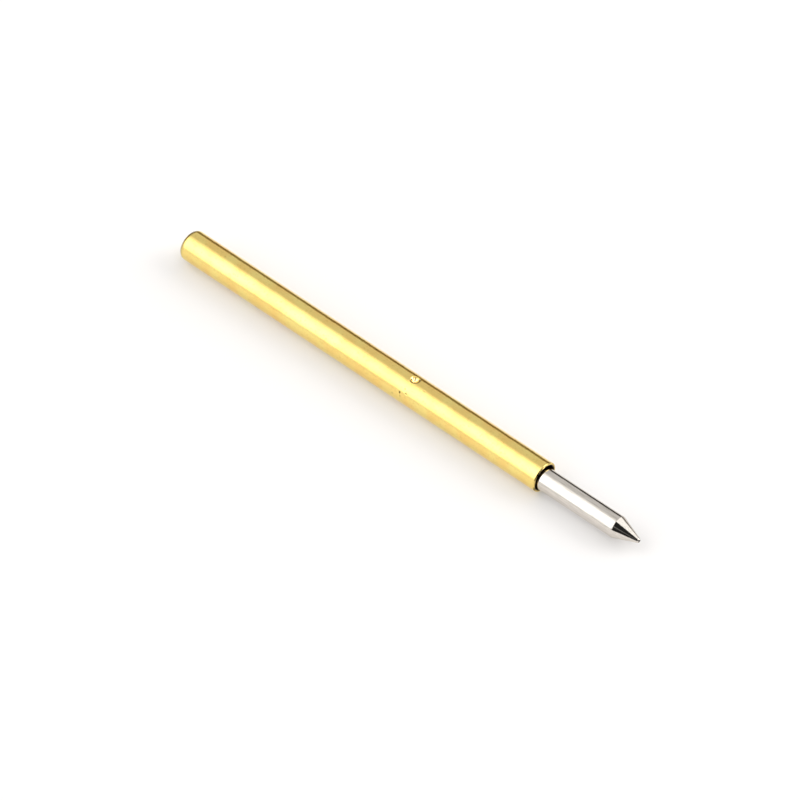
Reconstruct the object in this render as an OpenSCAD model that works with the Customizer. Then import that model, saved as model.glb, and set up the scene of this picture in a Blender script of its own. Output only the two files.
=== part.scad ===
// Pogo pin: a spring-loaded contact probe with a pointed plunger.
// Millimetres. The pin lies along +X with its contact tip at +X, +Z up.
// The origin is on the axis, in the plane of the barrel's mouth.

/* [Barrel] */
// Outer diameter of the drawn tube
barrel_d = 1.36; // [1.2:0.02:1.6]
// Length from the rear end to the mouth
barrel_len = 19.4; // [18:0.1:24]
// Thickness of the tube's wall
wall = 0.12; // [0.09:0.01:0.14]

/* [Mouth] */
// Radius on the outer edge of the mouth
lip_r = 0.05; // [0.01:0.01:0.05]
// Width of the 45 degree countersink on the inner edge of the mouth
countersink = 0.03; // [0.01:0.01:0.04]

/* [Rear end] */
// Outer radius of the corner where the tube is rolled in
corner_r = 0.28; // [0.16:0.02:0.4]
// Diameter of the vent hole that the rolled-in end leaves open
vent_d = 0.36; // [0.2:0.02:0.5]

/* [Crimp dimples] */
// Distance of the dimples behind the mouth
dimple_back = 7.05; // [6:0.05:8]
// Number of dimples, spaced evenly round the tube
dimple_count = 2; // [2:1:4]
// Turn of the first dimple round the tube from straight up, towards +Y
dimple_turn = 7; // [0:1:90]
// Depth of a dimple below the tube's outer surface
dimple_depth = 0.16; // [0.12:0.01:0.18]
// Radius of the punch's nose
punch_nose = 0.06; // [0.03:0.01:0.1]
// Included angle of the punch's cone
punch_angle = 92; // [80:1:110]
// Share of the wall's thickness that is left under the punch
dimple_thinning = 0.85; // [0.7:0.05:1]

/* [Plunger] */
// Length that stands out of the mouth at rest
exposed = 5.1; // [4.6:0.1:7]
// Full stroke
travel = 3.8; // [2:0.1:4.2]
// Length of the tail guide behind the waist
tail_len = 1.5; // [1:0.1:2]
// Break on the turned edges
edge_break = 0.03; // [0.01:0.01:0.05]

/* [Contact tip] */
// Included angle of the cone
tip_angle = 40; // [30:1:90]
// Radius of the cone's rounded nose
tip_nose = 0.09; // [0.03:0.01:0.1]

/* [Spring] */
// Diameter of the wire
wire_d = 0.17; // [0.12:0.01:0.18]
// Pitch aimed at for the open coils, rounded to whole turns
spring_pitch = 0.41; // [0.34:0.01:0.6]

/* [Clearances] */
// Radial gap between the plunger's guides and the bore
slide_gap = 0.06; // [0.02:0.01:0.08]
// Radial gap between the spring and the bore
spring_gap = 0.06; // [0.04:0.01:0.08]
// Radial gap between the plunger's waist and the dimples
waist_gap = 0.06; // [0.03:0.01:0.1]
// Gap between the dimples and the guides' shoulders at both ends of the stroke
stop_gap = 0.02; // [0.01:0.01:0.05]
// Gap between the spring's ends and what they press on
seat_gap = 0.02; // [0.01:0.01:0.05]
// Gap between the closed end coils
coil_gap = 0.01; // [0.005:0.005:0.03]

/* [Hidden] */

$fn = 72;
past = 0.2;  // how far a cutting shape runs past what it cuts

// Barrel
barrel_r = barrel_d / 2;
bore_r = barrel_r - wall;
bore_corner = max(corner_r - wall, 0.02);
rear_face = -barrel_len + wall;

// Dimples: the punch and the metal that it pushes in share one centre
metal = wall * dimple_thinning;
dimple_tip_r = barrel_r - dimple_depth - metal;
punch_half = punch_angle / 2;

// Half-width of the pushed-in metal at a radius from the pin's axis
function bump_half(r) =
    (punch_nose + metal) * cos(punch_half)
    + (r - dimple_tip_r - (punch_nose + metal) * (1 - sin(punch_half))) * tan(punch_half);

// Plunger, from the tip to the tail
plunger_r = bore_r - slide_gap;
waist_r = dimple_tip_r - waist_gap;
tip_half = tip_angle / 2;
cone_len = plunger_r / tan(tip_half) - tip_nose * (1 / sin(tip_half) - 1);
nose_centre = exposed - tip_nose;
shoulder = bump_half(plunger_r) + stop_gap;
waist_front = -dimple_back + shoulder + travel;
waist_rear = -dimple_back - shoulder;
tail_end = waist_rear - tail_len;

// Spring: its last coil nests in the rolled corner of the barrel's end
wire_r = wire_d / 2;
coil_r = bore_r - spring_gap - wire_r;
corner_reach = max(bore_corner - spring_gap - wire_r, 0);
corner_room = bore_corner - wire_r - seat_gap;
rear_seat = rear_face + (corner_reach > 0
    ? bore_corner - sqrt(pow(corner_room, 2) - pow(corner_reach, 2))
    : wire_r + seat_gap);
front_seat = tail_end - seat_gap - wire_r;
closed_pitch = wire_d + coil_gap;
open_len = front_seat - rear_seat - 2 * closed_pitch;
open_turns = round(open_len / spring_pitch);
open_pitch = open_len / open_turns;
turns = open_turns + 2;
WIRE_SIDES = 8;
TURN_STEPS = 16;

// Turns the axis of a revolved shape from Z to X
module along_x() {
    rotate([0, 90, 0]) children();
}

// Half outline of a round bar from z0 to z1, its two ends rounded by c0 and c1
module bar_outline(r, z0, z1, c0, c1) {
    translate([0, z0]) square([r - c0, c0]);
    translate([r - c0, z0 + c0]) intersection() {
        circle(c0);
        translate([0, -c0]) square([c0, c0]);
    }
    translate([0, z0 + c0]) square([r, z1 - z0 - c0 - c1]);
    translate([0, z1 - c1]) square([r - c1, c1]);
    translate([r - c1, z1 - c1]) intersection() {
        circle(c1);
        square([c1, c1]);
    }
}

// Half section of the drawn tube with its rolled-in rear end
module tube_section() {
    difference() {
        bar_outline(barrel_r, -barrel_len, 0, corner_r, lip_r);
        bar_outline(bore_r, rear_face, past, bore_corner, past / 2);
        translate([0, -barrel_len - past]) square([vent_d / 2, wall + 2 * past]);
        polygon([[bore_r - past, past], [bore_r - past, -countersink - past],
                 [bore_r + countersink + past, past]]);
    }
}

// Rounded cone along +Z: its nose touches z_tip and it widens up to z_top
module punch(nose, z_tip, z_top) {
    z_centre = z_tip + nose;
    z_flank = z_centre - nose * sin(punch_half);
    r_flank = nose * cos(punch_half);
    r_top = r_flank + (z_top - z_flank) * tan(punch_half);
    rotate_extrude() {
        intersection() {
            translate([0, z_centre]) circle(nose);
            translate([0, z_tip]) square([nose, nose]);
        }
        polygon([[0, z_centre], [0, z_flank], [r_flank, z_flank], [r_top, z_top], [0, z_top]]);
    }
}

// Repeats a shape that points along +Z at each dimple's place
module at_dimples() {
    for (i = [0 : dimple_count - 1])
        rotate([-dimple_turn - i * 360 / dimple_count, 0, 0])
            translate([-dimple_back, 0, 0]) children();
}

module barrel() {
    color("gold") difference() {
        union() {
            along_x() rotate_extrude() tube_section();
            at_dimples() punch(punch_nose + metal, dimple_tip_r, bore_r + wall / 4);
        }
        at_dimples() punch(punch_nose, dimple_tip_r + metal, barrel_r + past);
    }
}

module plunger() {
    color("silver") along_x() rotate_extrude() {
        polygon([
            [0, tail_end],
            [plunger_r - edge_break, tail_end],
            [plunger_r, tail_end + edge_break],
            [plunger_r, waist_rear],
            [waist_r, waist_rear],
            [waist_r, waist_front],
            [plunger_r - edge_break, waist_front],
            [plunger_r, waist_front + edge_break],
            [plunger_r, exposed - cone_len],
            [tip_nose * cos(tip_half), nose_centre + tip_nose * sin(tip_half)],
            [0, nose_centre + tip_nose * sin(tip_half)]
        ]);
        intersection() {
            translate([0, nose_centre]) circle(tip_nose);
            translate([0, nose_centre]) square([tip_nose, tip_nose]);
        }
    }
}

// Place along X of the wire's centre after t turns from the rear end
function coil_x(t) = rear_seat
    + min(t, 1) * closed_pitch
    + min(max(t - 1, 0), open_turns) * open_pitch
    + max(t - 1 - open_turns, 0) * closed_pitch;

// Ring of points round the wire after t turns, square to the coil's own slope
function wire_ring(t) = let(
    a = 360 * t,
    slope = atan((coil_x(t + 0.05) - coil_x(t - 0.05)) / (0.1 * 2 * PI * coil_r)))
    [for (k = [0 : WIRE_SIDES - 1]) let(
        b = 360 * k / WIRE_SIDES,
        out = coil_r + wire_r * cos(b),
        up = wire_r * sin(b))
        [coil_x(t) + up * cos(slope),
         out * cos(a) + up * sin(slope) * sin(a),
         out * sin(a) - up * sin(slope) * cos(a)]];

module spring() {
    n = turns * TURN_STEPS;
    s = WIRE_SIDES;
    color("slategray") polyhedron(
        points = [for (i = [0 : n]) each wire_ring(i / TURN_STEPS)],
        faces = concat(
            [[for (k = [0 : s - 1]) s - 1 - k]],
            [for (i = [0 : n - 1]) for (k = [0 : s - 1]) let(m = (k + 1) % s)
                each [[i * s + k, (i + 1) * s + m, (i + 1) * s + k],
                      [i * s + k, i * s + m, (i + 1) * s + m]]],
            [[for (k = [0 : s - 1]) n * s + k]]));
}

barrel();
plunger();
spring();
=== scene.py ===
import math

import bpy
import numpy as np
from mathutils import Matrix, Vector


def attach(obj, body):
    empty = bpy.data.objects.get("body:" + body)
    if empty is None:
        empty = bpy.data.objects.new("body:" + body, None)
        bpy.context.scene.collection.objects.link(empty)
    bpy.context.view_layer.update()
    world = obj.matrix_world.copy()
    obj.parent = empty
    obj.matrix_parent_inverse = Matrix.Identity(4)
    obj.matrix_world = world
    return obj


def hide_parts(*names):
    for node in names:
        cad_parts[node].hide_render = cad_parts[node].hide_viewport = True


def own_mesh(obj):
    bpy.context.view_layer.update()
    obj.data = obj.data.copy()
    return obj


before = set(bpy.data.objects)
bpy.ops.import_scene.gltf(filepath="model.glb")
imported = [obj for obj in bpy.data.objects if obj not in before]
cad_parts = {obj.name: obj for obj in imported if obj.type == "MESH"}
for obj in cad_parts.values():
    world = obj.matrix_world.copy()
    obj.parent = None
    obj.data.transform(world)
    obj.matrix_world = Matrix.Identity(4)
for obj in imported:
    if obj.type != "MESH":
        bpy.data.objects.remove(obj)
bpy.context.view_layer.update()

MM = 0.001

# ---------------------------------------------------------------------------
# Barrel: a tube drawn from brass and plated with gold. Its rear end is rolled
# in round a small vent hole, its mouth is trimmed square with softly broken
# edges, and two punch marks behind the mouth hold the plunger in.

# Sizes are in millimetres. The mouth is at X 0, and a size called back is its distance behind
# the mouth. A turn is the angle round the pin's axis, from the top toward the back.
BARREL_R, BARREL_LEN, WALL = 0.68, 19.4, 0.12
CORNER_R, VENT_R, VENT_EDGE_R = 0.28, 0.18, 0.02
LIP_R, COUNTERSINK, COUNTERSINK_EDGE_R, MOUTH_EDGE_R = 0.05, 0.03, 0.02, 0.01
BORE_R, BORE_CORNER_R = BARREL_R - WALL, CORNER_R - WALL

# Two opposite punch marks: blunt cones with a rounded nose, whose thinned wall, PUNCH_METAL,
# stands in the bore. The metal round each is sunk and raised at the rim, more so on the side
# that the punch leaned to. On that side a crescent of painted shade lies just past the rim.
# Its nose has rubbed the metal bare.
DIMPLE_BACK, DIMPLE_TURN, DIMPLE_DEPTH = 7.05, math.radians(7), 0.16
PUNCH_NOSE, PUNCH_HALF, PUNCH_METAL, PUNCH_REACH = 0.06, math.radians(46), 0.102, 0.8
DIMPLE_RIM, SINK_DEPTH, SINK_WIDTH = 0.02, 0.015, 0.30
RIM_R, RIM_WIDTH, RIM_HEIGHT, RIM_EVEN = 0.22, 0.045, 0.008, 0.6
LEAN_ALONG, LEAN_ROUND = 0.75, -0.66
BARE_R, BARE_EDGE, BARE_MOST = 0.155, 0.04, 0.45
# The crescent of painted shade past the rim: its radius, its width, and the lean at which it is
# full.
CRESCENT_R, CRESCENT_WIDTH, CRESCENT_START = 0.195, 0.042, 0.25

# A round mark pressed by the jaw of the crimping tool, and scratches from it: the place along
# X and the turn in degrees of one end, the same of the other end, and a weight. The weight sets
# each scratch's depth and the shade painted into its groove.
JAW_BACK, JAW_TURN = 7.42, math.radians(-70)
JAW_R, JAW_DEPTH, JAW_EDGE = 0.24, 0.004, 0.09
NICKS = [
    (-7.29, -62, -7.27, -68, 0.65), (-7.25, -75, -7.22, -80, 0.5), (-7.00, -56, -6.94, -58, 0.6),
    (-7.65, -85, -7.63, -87, 0.6), (-7.12, -43, -7.10, -45, 0.4), (-6.35, -12, -6.33, -14, 0.3),
]
NICK_WIDTH, NICK_DEPTH = 0.022, 0.030

# Painted shade inside the mouth and in broken patches on the lip (turn and half width in
# degrees, and a weight), and a painted dark reflection in a ring on the rolled rear corner,
# darkest at one turn.
MOUTH_DEPTH, MOUTH_R, MOUTH_FADE = 0.5, 0.62, 0.02
LIP_SHADES = [(-40, 29, 0.8), (-107, 13, 0.75), (66, 24, 0.35)]
LIP_SHADE_LEN, LIP_SHADE_BREAKS, LIP_SHADE_LEAST = 0.04, 23, 0.6
ROLL_R, ROLL_WIDTH = 0.595, 0.075
ROLL_TURN, ROLL_SPREAD, ROLL_ROUND, ROLL_MORE = math.radians(28), 0.6, 0.55, 0.4

# The grid is finest round the marks. OUTER_FINE and BORE_FINE are the sizes over which the
# rings crowd along X, and CROWDING is how far the columns are drawn together.
BARREL_RINGS, BARREL_COLUMNS, ARC_STEPS = 190, 240, 12
FINE_BACK, OUTER_FINE, BORE_FINE, CROWDING = 7.15, 0.2, 0.12, 0.45


def rounded(corners, steps):
    """Rounds the corners (x, r, radius) of a closed outline. Each arc touches both sides of
    its corner: its centre is on the bisector, radius / sin(half angle) from the corner, and
    its points turn evenly from one side's normal to the other's. One more point just
    outside each end of an arc keeps the shading of the straight sides clean."""
    c = np.array(corners, float)
    p, radius = c[:, :2], c[:, 2:]
    to_last, to_next = np.roll(p, 1, 0) - p, np.roll(p, -1, 0) - p
    to_last /= np.linalg.norm(to_last, axis=1, keepdims=True)
    to_next /= np.linalg.norm(to_next, axis=1, keepdims=True)
    half = np.arccos((to_last * to_next).sum(1, keepdims=True)) / 2
    middle = to_last + to_next
    middle = p + middle / np.linalg.norm(middle, axis=1, keepdims=True) * radius / np.sin(half)
    reach = radius / np.tan(half)
    first, last = p + to_last * reach, p + to_next * reach
    turn = math.pi - 2 * half[:, None]
    s = np.linspace(0, 1, steps)[None, :, None]
    arc = (np.sin((1 - s) * turn) * (first - middle)[:, None]
           + np.sin(s * turn) * (last - middle)[:, None]) / np.sin(turn) + middle[:, None]
    margin = 0.12 * radius
    return np.concatenate([(first + to_last * margin)[:, None], arc,
                           (last + to_next * margin)[:, None]], axis=1)


def close_to(middle, low, high, fine, count):
    """Places between low and high that crowd round the middle: middle + fine * sinh(t) for
    evenly spaced t, so their spacing grows with the distance from the middle."""
    t = np.linspace(math.asinh((low - middle) / fine), math.asinh((high - middle) / fine), count)
    return middle + fine * np.sinh(t)


def turned(angle, middle, period=2 * math.pi):
    """Angle from the middle, the short way round: from minus half the period to plus half. A
    shorter period repeats the middle round the tube."""
    return (angle - middle + period / 2) % period - period / 2


def bell(distance, width, power=2):
    """A bell, exp(-(distance / width) ** power): 1 in its middle, and with a flatter top and
    steeper sides for a higher power."""
    return np.exp(-((distance / width) ** power))


def punch_mark(distance, nose, depth):
    """Depth of a punch mark at a distance from its middle: a sphere of radius nose that runs
    into a cone, cut off at the surface by a smooth maximum with zero that rounds its rim."""
    touch = nose * math.cos(PUNCH_HALF)
    ball = nose - np.sqrt(nose**2 - np.minimum(distance, touch) ** 2)
    flank = nose * (1 - math.sin(PUNCH_HALF)) + (distance - touch) / math.tan(PUNCH_HALF)
    below = depth - np.where(distance < touch, ball, flank)
    return (below + np.sqrt(below**2 + DIMPLE_RIM**2)) / 2 * bell(distance, PUNCH_REACH, 4)


def scratches(x, angle):
    """Weight from 0 to 1 of the nicks: a bell over the distance to the line between the ends
    of each, measured on the unrolled tube. The strongest one wins."""
    around = BARREL_R * turned(angle, 0)
    strongest = 0 * (x + around)
    for x0, turn0, x1, turn1, weight in NICKS:
        a0, a1 = BARREL_R * math.radians(turn0), BARREL_R * math.radians(turn1)
        length = math.hypot(x1 - x0, a1 - a0)
        along = ((x - x0) * (x1 - x0) + (around - a0) * (a1 - a0)) / length**2
        along = np.clip(along, 0, 1)
        gap = np.hypot(x - x0 - along * (x1 - x0), around - a0 - along * (a1 - a0))
        strongest = np.maximum(strongest, weight * bell(gap, NICK_WIDTH))
    return strongest


def paint(obj, name, weight):
    """Stores a weight from 0 to 1 for each point of a mesh, as an attribute."""
    layer = obj.data.attributes.new(name, "FLOAT", "POINT")
    layer.data.foreach_set("value", weight.ravel().astype(np.float32))


def shell(name, grid, ring):
    """A mesh over a grid of points in millimetres, rows by columns. Each row closes on
    itself. The rows close into a ring too if ring is true; if not, a fan closes each end."""
    rows, columns = grid.shape[:2]
    points = grid.reshape(-1, 3) * MM
    i = np.arange(rows if ring else rows - 1)[:, None] * columns
    below = (i + columns) % (rows * columns)
    j = np.arange(columns)[None]
    k = (j + 1) % columns
    faces = np.stack([i + j, i + k, below + k, below + j], -1).reshape(-1, 4).tolist()
    if not ring:
        j, k = j[0], k[0]
        ends = np.array([points[:columns].mean(0), points[-columns:].mean(0)])
        n = len(points)
        points = np.concatenate([points, ends])
        faces += np.stack([k, j, np.full(columns, n)], -1).tolist()
        faces += np.stack([n - columns + j, n - columns + k, np.full(columns, n + 1)], -1).tolist()
    mesh = bpy.data.meshes.new(name)
    mesh.from_pydata(points.tolist(), [], faces)
    mesh.polygons.foreach_set("use_smooth", np.ones(len(faces), bool))
    mesh.validate()
    obj = bpy.data.objects.new(name, mesh)
    bpy.context.scene.collection.objects.link(obj)
    return obj


# Outline of the wall, from the mouth's outer edge to the rear and back through the bore.
mouth_edge, rear_corner, vent_edge, vent_inner, bore_corner, sink_inner, sink_outer = rounded([
    (0, BARREL_R, LIP_R),
    (-BARREL_LEN, BARREL_R, CORNER_R),
    (-BARREL_LEN, VENT_R, VENT_EDGE_R),
    (WALL - BARREL_LEN, VENT_R, VENT_EDGE_R),
    (WALL - BARREL_LEN, BORE_R, BORE_CORNER_R),
    (-COUNTERSINK, BORE_R, COUNTERSINK_EDGE_R),
    (0, BORE_R + COUNTERSINK, MOUTH_EDGE_R),
], ARC_STEPS)
outside = close_to(-FINE_BACK, rear_corner[0, 0], mouth_edge[-1, 0], OUTER_FINE,
                   BARREL_RINGS)[::-1]
inside = close_to(-DIMPLE_BACK, bore_corner[-1, 0], sink_inner[0, 0], BORE_FINE,
                  BARREL_RINGS // 3)
outside = np.stack([outside, np.full_like(outside, BARREL_R)], -1)[1:-1]
inside = np.stack([inside, np.full_like(inside, BORE_R)], -1)[1:-1]
outline = np.concatenate([mouth_edge, outside, rear_corner, vent_edge, vent_inner, bore_corner,
                          inside, sink_inner, sink_outer])
x, r = outline[:, :1], outline[:, 1:]
outer = r > (BARREL_R + BORE_R) / 2
angle = np.linspace(0, 2 * math.pi, BARREL_COLUMNS, endpoint=False)
angle = angle - CROWDING * np.sin(angle - (DIMPLE_TURN + JAW_TURN) / 2)

# Forms that press into the tube or stand up on it, over the distance on the unrolled tube.
from_dimple, round_dimple = x + DIMPLE_BACK, BARREL_R * turned(angle, DIMPLE_TURN, math.pi)
distance = np.hypot(from_dimple, round_dimple)
lean = (LEAN_ALONG * from_dimple + LEAN_ROUND * round_dimple) / (distance + 1e-6)
pushed_out = punch_mark(distance, PUNCH_NOSE, DIMPLE_DEPTH)
pushed_in = punch_mark(distance, PUNCH_NOSE + PUNCH_METAL, DIMPLE_DEPTH + PUNCH_METAL - WALL)
sunk = SINK_DEPTH * bell(distance, SINK_WIDTH)
raised = RIM_HEIGHT * (RIM_EVEN + (1 - RIM_EVEN) * lean) * bell(distance - RIM_R, RIM_WIDTH)
laid_bare = outer * np.clip((BARE_R - distance) / BARE_EDGE, 0, BARE_MOST)
# Painted shade: a dark crescent past the rim, on the side the punch leaned to.
shade_crescent = np.clip(lean / CRESCENT_START, 0, 1) * bell(distance - CRESCENT_R, CRESCENT_WIDTH)
distance = np.hypot(x + JAW_BACK, BARREL_R * turned(angle, JAW_TURN))
pressed = JAW_DEPTH / 2 * (1 - np.tanh((distance - JAW_R) / JAW_EDGE))
nicks = scratches(x, angle)
r = r + np.where(outer, raised - pressed - NICK_DEPTH * nicks - pushed_out, -pushed_in) - sunk
tube = shell("barrel_tube",
             np.stack([x + 0 * angle, r * np.sin(angle), r * np.cos(angle)], -1), ring=True)

# Weights of the bare metal in the punch marks and of the painted shade.
# Painted shade inside the mouth: the bore and countersink darkened near the mouth.
mouth = (x > -MOUTH_DEPTH) * np.clip((MOUTH_R - r) / MOUTH_FADE, 0, 1)
# Painted shade on the lip, in broken patches round it.
lip_shade = 0 * angle
for turn, half_width, weight in LIP_SHADES:
    far = turned(angle, math.radians(turn))
    lip_shade = np.maximum(lip_shade, weight * bell(far, math.radians(half_width), 4))
lip_shade = (x > -LIP_SHADE_LEN) * lip_shade * np.clip(np.sin(angle * LIP_SHADE_BREAKS) + 1.5, LIP_SHADE_LEAST, 1)
# Painted dark reflection: a ring on the rolled rear corner, darkest at one turn.
rolled = (x < CORNER_R - BARREL_LEN) * bell(r - ROLL_R, ROLL_WIDTH, 4)
rolled = rolled * (ROLL_ROUND + ROLL_MORE * bell(turned(angle, ROLL_TURN), ROLL_SPREAD, 4))
# Painted shade in the grooves of the nicks and in the crescent past the punch marks' rims.
marks = np.maximum(nicks, shade_crescent) * outer
paint(tube, "laid_bare", laid_bare)
paint(tube, "painted_shade", np.maximum(np.maximum(marks, rolled), np.maximum(mouth, lip_shade)))
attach(tube, "barrel")
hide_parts("barrel")


def linear(colour):
    """Turns an sRGB hex colour into linear red, green, blue and an alpha of one."""
    c = np.array([int(colour[i:i + 2], 16) for i in (1, 3, 5)]) / 255
    return (*np.where(c > 0.04045, ((c + 0.055) / 1.055) ** 2.4, c / 12.92), 1)


def new_material(name):
    """Makes a material, and returns it with its node tree, which is empty."""
    material = bpy.data.materials.new(name)
    material.use_nodes = True
    material.node_tree.nodes.clear()
    return material, material.node_tree


def add(tree, kind, sockets=None, **settings):
    """Adds a node. Settings are its own properties; sockets gives each input, by name or
    number, a value or the output that is linked into it."""
    node = tree.nodes.new("ShaderNode" + kind)
    for key, value in settings.items():
        setattr(node, key, value)
    for key, value in (sockets or {}).items():
        if isinstance(value, bpy.types.NodeSocket):
            tree.links.new(value, node.inputs[key])
        else:
            node.inputs[key].default_value = value
    return node


# Gold plating on drawn brass: a bright warm metal. Its surface waves a little from the
# drawing, with fine pits and draw lines, and its tone shifts where the plating is thinner.
gold, t = new_material("gold_plate_on_drawn_brass")
place = add(t, "TexCoord").outputs["Object"]
waves = add(t, "TexNoise", {"Vector": place, "Scale": 1 / (0.8 * MM), "Detail": 1.0}).outputs[0]
pits = add(t, "TexNoise", {"Vector": place, "Scale": 1 / (0.09 * MM), "Detail": 2.0}).outputs[0]
scale = (1 / (3 * MM), 1 / (0.09 * MM), 1 / (0.09 * MM))
drawn = add(t, "VectorMath", {0: place, 1: scale}, operation="MULTIPLY").outputs[0]
lines = add(t, "TexNoise", {"Vector": drawn, "Scale": 1.0, "Detail": 3.0}).outputs[0]
rough = add(t, "MapRange", {"Value": pits, "From Min": 0.3, "From Max": 0.7,
                            "To Min": 0.09, "To Max": 0.20}).outputs[0]
relief = add(t, "Bump", {"Height": waves, "Distance": 0.015 * MM, "Strength": 1.0}).outputs[0]
for height, depth in ((pits, 0.0018), (lines, 0.0006)):
    relief = add(t, "Bump", {"Height": height, "Distance": depth * MM, "Strength": 1.0,
                             "Normal": relief}).outputs[0]
thin = add(t, "MapRange", {"Value": waves, "From Min": 0.35, "From Max": 0.65}).outputs[0]
worn = add(t, "MapRange", {"Value": pits, "From Min": 0.58, "From Max": 0.75,
                           "To Max": 0.5}).outputs[0]
laid_bare = add(t, "Attribute", attribute_name="laid_bare").outputs["Fac"]
painted_shade = add(t, "Attribute", attribute_name="painted_shade").outputs["Fac"]
shade = add(t, "Mix", {0: thin, 6: linear("#f6df88"), 7: linear("#f6d37d")},
            data_type="RGBA").outputs[2]
# The last colour is painted shade: dark metal in the mouth, on the lip and rolled corner, in the
# nicks and round the punch marks.
for weight, colour in ((worn, "#d9b45c"), (laid_bare, "#f0e4bc"), (painted_shade, "#3f3015")):
    shade = add(t, "Mix", {0: weight, 6: shade, 7: linear(colour)}, data_type="RGBA").outputs[2]
surface = add(t, "BsdfPrincipled", {"Base Color": shade, "Metallic": 1.0, "Roughness": rough,
                                    "Normal": relief})
add(t, "OutputMaterial", {"Surface": surface.outputs[0]})
tube.data.materials.append(gold)

# ---------------------------------------------------------------------------
# Plunger: turned from a bar of hard copper alloy and plated bright. A cone with
# a small round nose touches the pad; inside the tube a narrow waist passes the
# punch marks, between a long front guide and a short tail guide.

# At either end of the travel a guide's shoulder stands SHOULDER from the punch marks' middle.
# The plunger lies low in its play. Painted shade covers the nose from one slope of it forward.
PLUNGER_R, EXPOSED, TRAVEL = 0.5, 5.1, 3.8
WAIST_R, TAIL_LEN, SHOULDER = 0.358, 1.5, 0.170
CONE_HALF, NOSE_R, CONE_START_R = math.radians(20), 0.115, 0.25
GUIDE_EDGE_R, WAIST_EDGE_R, STOP_EDGE_R, POINT_R = 0.03, 0.02, 0.01, 0.001
PLAY_Y, PLAY_Z = -0.020, -0.036
NOSE_SHADE_SLOPE, NOSE_SHADE_FADE = math.radians(52), 0.12
PLUNGER_COLUMNS, PLUNGER_ARC_STEPS, NOSE_STEPS = 128, 8, 14
NOSE_FIRST, TAIL_LAST_R = math.radians(2), 0.02

cut_off = NOSE_R * (1 / math.sin(CONE_HALF) - 1)
cone_len = PLUNGER_R / math.tan(CONE_HALF) - cut_off
waist_front = SHOULDER + TRAVEL - DIMPLE_BACK
waist_rear = -DIMPLE_BACK - SHOULDER
tail_end = waist_rear - TAIL_LEN
# The last two corners, on the axis, only close the outline. Their arcs are left out.
bands = rounded([
    (EXPOSED - cone_len, PLUNGER_R, CONE_START_R),
    (waist_front, PLUNGER_R, GUIDE_EDGE_R),
    (waist_front, WAIST_R, WAIST_EDGE_R),
    (waist_rear, WAIST_R, WAIST_EDGE_R),
    (waist_rear, PLUNGER_R, STOP_EDGE_R),
    (tail_end, PLUNGER_R, GUIDE_EDGE_R),
    (tail_end, 0.0, POINT_R),
    (EXPOSED + cut_off, 0.0, POINT_R),
], PLUNGER_ARC_STEPS)[:6].reshape(-1, 2)
tilt = np.linspace(NOSE_FIRST, math.pi / 2 - CONE_HALF, NOSE_STEPS)
nose = np.stack([EXPOSED - NOSE_R + NOSE_R * np.cos(tilt), NOSE_R * np.sin(tilt)], -1)
outline = np.concatenate([nose, bands, [[tail_end, TAIL_LAST_R]]])
x, r = outline[:, :1], outline[:, 1:]
angle = np.linspace(0, 2 * math.pi, PLUNGER_COLUMNS, endpoint=False)
pin = shell("plunger_pin", np.stack([x + 0 * angle, r * np.sin(angle) + PLAY_Y,
                                     r * np.cos(angle) + PLAY_Z], -1), ring=False)
# Painted shade on the front of the nose, fading in over one slope of it.
nose_shade = np.clip((np.arctan2(x - EXPOSED + NOSE_R, r) - NOSE_SHADE_SLOPE) / NOSE_SHADE_FADE, 0, 1)
nose_shade = nose_shade * (x > EXPOSED - NOSE_R) + 0 * angle
paint(pin, "nose_shade", np.append(nose_shade, (1, 0)))
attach(pin, "plunger")
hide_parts("plunger")

# Bright plating on a turned surface: nearly a mirror, faintly warm, with fine rings left by
# the lathe tool and short rubbed streaks from sliding in the tube. A dark colour paints shade
# on the front of the nose.
bright, t = new_material("bright_plate_on_turned_pin")
place = add(t, "TexCoord").outputs["Object"]
waves = add(t, "TexNoise", {"Vector": place, "Scale": 1 / (0.5 * MM), "Detail": 1.0}).outputs[0]
grains = []
for along, across in ((0.06, 2), (0.5, 0.05)):
    scale = (1 / (along * MM), 1 / (across * MM), 1 / (across * MM))
    grain = add(t, "VectorMath", {0: place, 1: scale}, operation="MULTIPLY").outputs[0]
    grains.append(add(t, "TexNoise", {"Vector": grain, "Scale": 1.0, "Detail": 2.0}).outputs[0])
rings, rubbed = grains
rough = add(t, "MapRange", {"Value": rings, "From Min": 0.3, "From Max": 0.7,
                            "To Min": 0.05, "To Max": 0.12}).outputs[0]
relief = add(t, "Bump", {"Height": waves, "Distance": 0.006 * MM, "Strength": 1.0}).outputs[0]
for height, depth in ((rubbed, 0.0004), (rings, 0.0002)):
    relief = add(t, "Bump", {"Height": height, "Distance": depth * MM, "Strength": 1.0,
                             "Normal": relief}).outputs[0]
dull = add(t, "MapRange", {"Value": rubbed, "From Min": 0.45, "From Max": 0.75}).outputs[0]
nose_shade = add(t, "Attribute", attribute_name="nose_shade").outputs["Fac"]
shade = add(t, "Mix", {0: dull, 6: linear("#dcd6ce"), 7: linear("#c8c2ba")},
            data_type="RGBA").outputs[2]
# Painted shade darkens the front of the nose.
shade = add(t, "Mix", {0: nose_shade, 6: shade, 7: linear("#5c5652")}, data_type="RGBA").outputs[2]
surface = add(t, "BsdfPrincipled", {"Base Color": shade, "Metallic": 1.0, "Roughness": rough,
                                    "Normal": relief})
add(t, "OutputMaterial", {"Surface": surface.outputs[0]})
pin.data.materials.append(bright)

# ---------------------------------------------------------------------------
# Spring: music wire coiled to run free in the bore, with closed end coils. It
# is pressed between the plunger's tail and the rolled-in end of the barrel.

WIRE_R, COIL_R, COIL_GAP, SEAT_GAP, OPEN_TURNS = 0.085, 0.415, 0.01, 0.02, 24
TURN_STEPS, WIRE_SIDES = 36, 14

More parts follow.
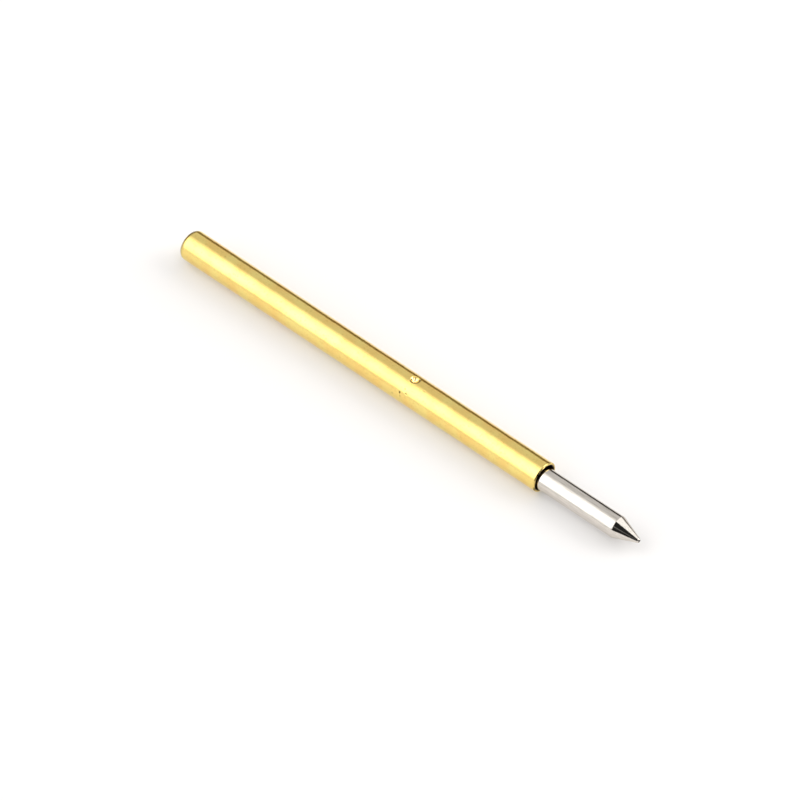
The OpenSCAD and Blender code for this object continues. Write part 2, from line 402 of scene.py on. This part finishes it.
# The last coil nests in the rolled corner of the barrel's end, SEAT_GAP off it.
corner_room, corner_reach = BORE_CORNER_R - WIRE_R - SEAT_GAP, COIL_R - BORE_R + BORE_CORNER_R
rear_seat = WALL - BARREL_LEN + BORE_CORNER_R - math.sqrt(corner_room**2 - corner_reach**2)
front_seat = tail_end - SEAT_GAP - WIRE_R
closed_pitch = 2 * WIRE_R + COIL_GAP
open_pitch = (front_seat - rear_seat - 2 * closed_pitch) / OPEN_TURNS

# The wire is a circle carried along a helix, whose pitch is small in the first and last turn.
turn = np.linspace(0, OPEN_TURNS + 2, (OPEN_TURNS + 2) * TURN_STEPS + 1)
along = (rear_seat + np.minimum(turn, 1) * closed_pitch
         + np.clip(turn - 1, 0, OPEN_TURNS) * open_pitch
         + np.maximum(turn - 1 - OPEN_TURNS, 0) * closed_pitch)
way = 2 * math.pi * turn
centre = np.stack([along, COIL_R * np.cos(way), COIL_R * np.sin(way)], -1)
ahead = np.gradient(centre, axis=0)
ahead /= np.linalg.norm(ahead, axis=1, keepdims=True)
out = np.stack([0 * way, np.cos(way), np.sin(way)], -1)
side = np.cross(ahead, out)
around = np.linspace(0, 2 * math.pi, WIRE_SIDES, endpoint=False)[None, :, None]
ring = np.cos(around) * out[:, None] + np.sin(around) * side[:, None]
coil = shell("coil_spring", centre[:, None] + WIRE_R * ring, ring=False)
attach(coil, "spring")
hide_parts("spring")
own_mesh(coil)

# Drawn spring steel: grey, satin from the die.
steel, t = new_material("drawn_spring_steel")
place = add(t, "TexCoord").outputs["Object"]
mottle = add(t, "TexNoise", {"Vector": place, "Scale": 1 / (0.1 * MM), "Detail": 3.0}).outputs[0]
rough = add(t, "MapRange", {"Value": mottle, "To Min": 0.24, "To Max": 0.38}).outputs[0]
surface = add(t, "BsdfPrincipled", {"Base Color": linear("#a6a39e"), "Metallic": 1.0,
                                    "Roughness": rough})
add(t, "OutputMaterial", {"Surface": surface.outputs[0]})
coil.data.materials.append(steel)

# ---------------------------------------------------------------------------
# Stage: the pin lies on a plain white sheet. It shows as white to the camera
# and in the metal, and keeps a soft share of the shadow.

SHEET_SIZE, SHEET_GLOW = 3.0, 0.20

corner, ground = SHEET_SIZE / 2, -BARREL_R * MM
sheet_mesh = bpy.data.meshes.new("white_sheet")
sheet_mesh.from_pydata([(-corner, -corner, ground), (corner, -corner, ground),
                        (corner, corner, ground), (-corner, corner, ground)],
                       [], [(0, 1, 2, 3)])
sheet = bpy.data.objects.new("white_sheet", sheet_mesh)
bpy.context.scene.collection.objects.link(sheet)
paper, t = new_material("white_paper")
matt = add(t, "BsdfDiffuse", {"Color": linear("#f4f2f1")})
white = add(t, "Emission", {"Color": (1, 1, 1, 1), "Strength": 1.0})
path = add(t, "LightPath")
shown = add(t, "Math", {0: path.outputs["Is Camera Ray"], 1: path.outputs["Is Glossy Ray"]},
            operation="MAXIMUM").outputs[0]
shown = add(t, "Math", {0: shown, 1: path.outputs["Is Transmission Ray"]},
            operation="MAXIMUM").outputs[0]
share = add(t, "Math", {0: shown, 1: SHEET_GLOW}, operation="MULTIPLY").outputs[0]
mixed = add(t, "MixShader", {0: share, 1: matt.outputs[0], 2: white.outputs[0]})
add(t, "OutputMaterial", {"Surface": mixed.outputs[0]})
sheet_mesh.materials.append(paper)

# A low folded card stands behind the pin and round its rear end. It is grey beside the
# plunger, nearly black behind the mouth and brown from there on. Only the metal sees it, as a
# dark line along its edges.
CARD = [(30, 7), (1.2, 7), (-3.2, 7), (-26.4, 7), (-26.4, -1)]
CARD_HEIGHT = 3.4
COVERS = [("grey_card", "#9a958f"), ("black_paper", "#4c4845"), ("brown_card", "#8a7a5e")]
SIDE_COVERS = [0, 1, 2, 2]

edges = len(CARD)
card_mesh = bpy.data.meshes.new("black_card")
card_mesh.from_pydata([(x * MM, y * MM, z * MM) for z in (-BARREL_R, CARD_HEIGHT - BARREL_R)
                       for x, y in CARD], [],
                      [(k, k + 1, k + edges + 1, k + edges) for k in range(edges - 1)])
card = bpy.data.objects.new("black_card", card_mesh)
card.visible_camera = card.visible_diffuse = card.visible_shadow = False
bpy.context.scene.collection.objects.link(card)
for name, colour in COVERS:
    cover, t = new_material(name)
    matt = add(t, "BsdfDiffuse", {"Color": linear(colour)})
    add(t, "OutputMaterial", {"Surface": matt.outputs[0]})
    card_mesh.materials.append(cover)
card_mesh.polygons.foreach_set("material_index", SIDE_COVERS)

# Studio light, by direction. To the pin's left a grey room, dimmer near the ground, holds a
# soft box whose glow falls off evenly. To its right there is a pale wall behind, greyer at its
# far end, and a dark side round the camera with a faint streak and one small bright card. The
# camera itself sees the room as white.
ROOM_LEVEL, GROUND_SHARE, SOFT_BOX_LEVEL, SOFT_BOX_FALL = 0.73, 0.68, 1.65, 1.2
BACK_WALL_LEVEL, BACK_WALL_END, DARK_LEVEL, BRIGHT_CARD_LEVEL = 1.4, 0.4, 0.02, 3.0
STREAK_LEVEL, STREAK_Y, STREAK_HALF = 0.17, -0.76, 0.05
TOWARD_SOFT_BOX = Vector((-0.60, -0.53, 0.59)).normalized()
TOWARD_BRIGHT_CARD = Vector((0.54, -0.20, 0.82)).normalized()
TOWARD_RIGHT = (1.0, 0.15, 0.0)
LIGHT_COLOUR = (1, 0.992, 0.982, 1)

world = bpy.data.worlds.new("studio")
bpy.context.scene.world = world
world.use_nodes = True
t = world.node_tree
t.nodes.clear()
way = add(t, "TexCoord").outputs["Generated"]
toward = add(t, "SeparateXYZ", {0: way}).outputs
near_box, near_card, near_right = [
    add(t, "VectorMath", {0: way, 1: direction}, operation="DOT_PRODUCT").outputs["Value"]
    for direction in (TOWARD_SOFT_BOX, TOWARD_BRIGHT_CARD, TOWARD_RIGHT)]
glow = add(t, "MapRange", {"Value": near_box, "From Min": 0.60, "From Max": 0.985}).outputs[0]
glow = add(t, "Math", {0: glow, 1: SOFT_BOX_FALL}, operation="POWER").outputs[0]
left_side = add(t, "Math", {0: glow, 1: SOFT_BOX_LEVEL, 2: ROOM_LEVEL},
                operation="MULTIPLY_ADD").outputs[0]
haze = add(t, "MapRange", {"Value": toward["Z"], "From Min": 0.0, "From Max": 0.18,
                           "To Min": GROUND_SHARE, "To Max": 1.0}).outputs[0]
left_side = add(t, "Math", {0: left_side, 1: haze}, operation="MULTIPLY").outputs[0]
wall = add(t, "MapRange", {"Value": toward["X"], "From Min": 0.30, "From Max": 0.45,
                           "To Min": BACK_WALL_LEVEL, "To Max": BACK_WALL_END}).outputs[0]
streak = add(t, "Math", {0: toward["Y"], 1: STREAK_Y, 2: STREAK_HALF},
             operation="COMPARE").outputs[0]
dark = add(t, "Math", {0: streak, 1: STREAK_LEVEL, 2: DARK_LEVEL},
           operation="MULTIPLY_ADD").outputs[0]
behind = add(t, "MapRange", {"Value": toward["Y"], "From Min": -0.03, "From Max": 0.03}).outputs[0]
right_side = add(t, "Mix", {0: behind, 2: dark, 3: wall}).outputs[0]
on_card = add(t, "MapRange", {"Value": near_card, "From Min": 0.980,
                              "From Max": 0.988}).outputs[0]
right_side = add(t, "Mix", {0: on_card, 2: right_side, 3: BRIGHT_CARD_LEVEL}).outputs[0]
to_right = add(t, "MapRange", {"Value": near_right, "From Min": -0.05, "From Max": 0.0}).outputs[0]
room = add(t, "Mix", {0: to_right, 2: left_side, 3: right_side}).outputs[0]
path = add(t, "LightPath")
seen = add(t, "Mix", {0: path.outputs["Is Camera Ray"], 2: room, 3: 1.0}).outputs[0]
light = add(t, "Background", {"Color": LIGHT_COLOUR, "Strength": seen})
add(t, "OutputWorld", {"Surface": light.outputs[0]})

# A lamp in a soft box behind the pin's right gives the shadow its direction.
KEY_LEVEL, KEY_SIZE, KEY_DISTANCE = 3.6, 0.20, 0.35
TOWARD_KEY = Vector((0.53, 0.64, 0.55)).normalized()
key = bpy.data.lights.new("soft_box_behind", "AREA")
key.size = KEY_SIZE
key.energy = KEY_LEVEL * math.pi * KEY_SIZE**2
lamp = bpy.data.objects.new("soft_box_behind", key)
lamp.location = TOWARD_KEY * KEY_DISTANCE
lamp.rotation_mode = "QUATERNION"
lamp.rotation_quaternion = TOWARD_KEY.to_track_quat("Z", "Y")
bpy.context.scene.collection.objects.link(lamp)

# Camera: long lens from the front right, looking down at the pin.
AZIMUTH, ELEVATION = math.radians(41.46), math.radians(48.4)
DISTANCE, FIELD, SENSOR = 0.55, 32.55 * MM, 36
AIM, AIM_RIGHT, AIM_UP = Vector((-7.0 * MM, 0, 0)), -0.604 * MM, -0.324 * MM
camera = bpy.data.objects.new("camera", bpy.data.cameras.new("camera"))
camera.data.sensor_width = SENSOR
camera.data.lens = SENSOR * DISTANCE / FIELD
camera.data.clip_start, camera.data.clip_end = 0.01, 10
back = Vector((math.sin(AZIMUTH) * math.cos(ELEVATION),
               -math.cos(AZIMUTH) * math.cos(ELEVATION), math.sin(ELEVATION)))
right = Vector((math.cos(AZIMUTH), math.sin(AZIMUTH), 0))
camera.location = AIM + right * AIM_RIGHT + back.cross(right) * AIM_UP + back * DISTANCE
camera.rotation_mode = "QUATERNION"
camera.rotation_quaternion = back.to_track_quat("Z", "Y")
bpy.context.scene.collection.objects.link(camera)
bpy.context.scene.camera = camera
bpy.context.scene.view_settings.view_transform = "Standard"
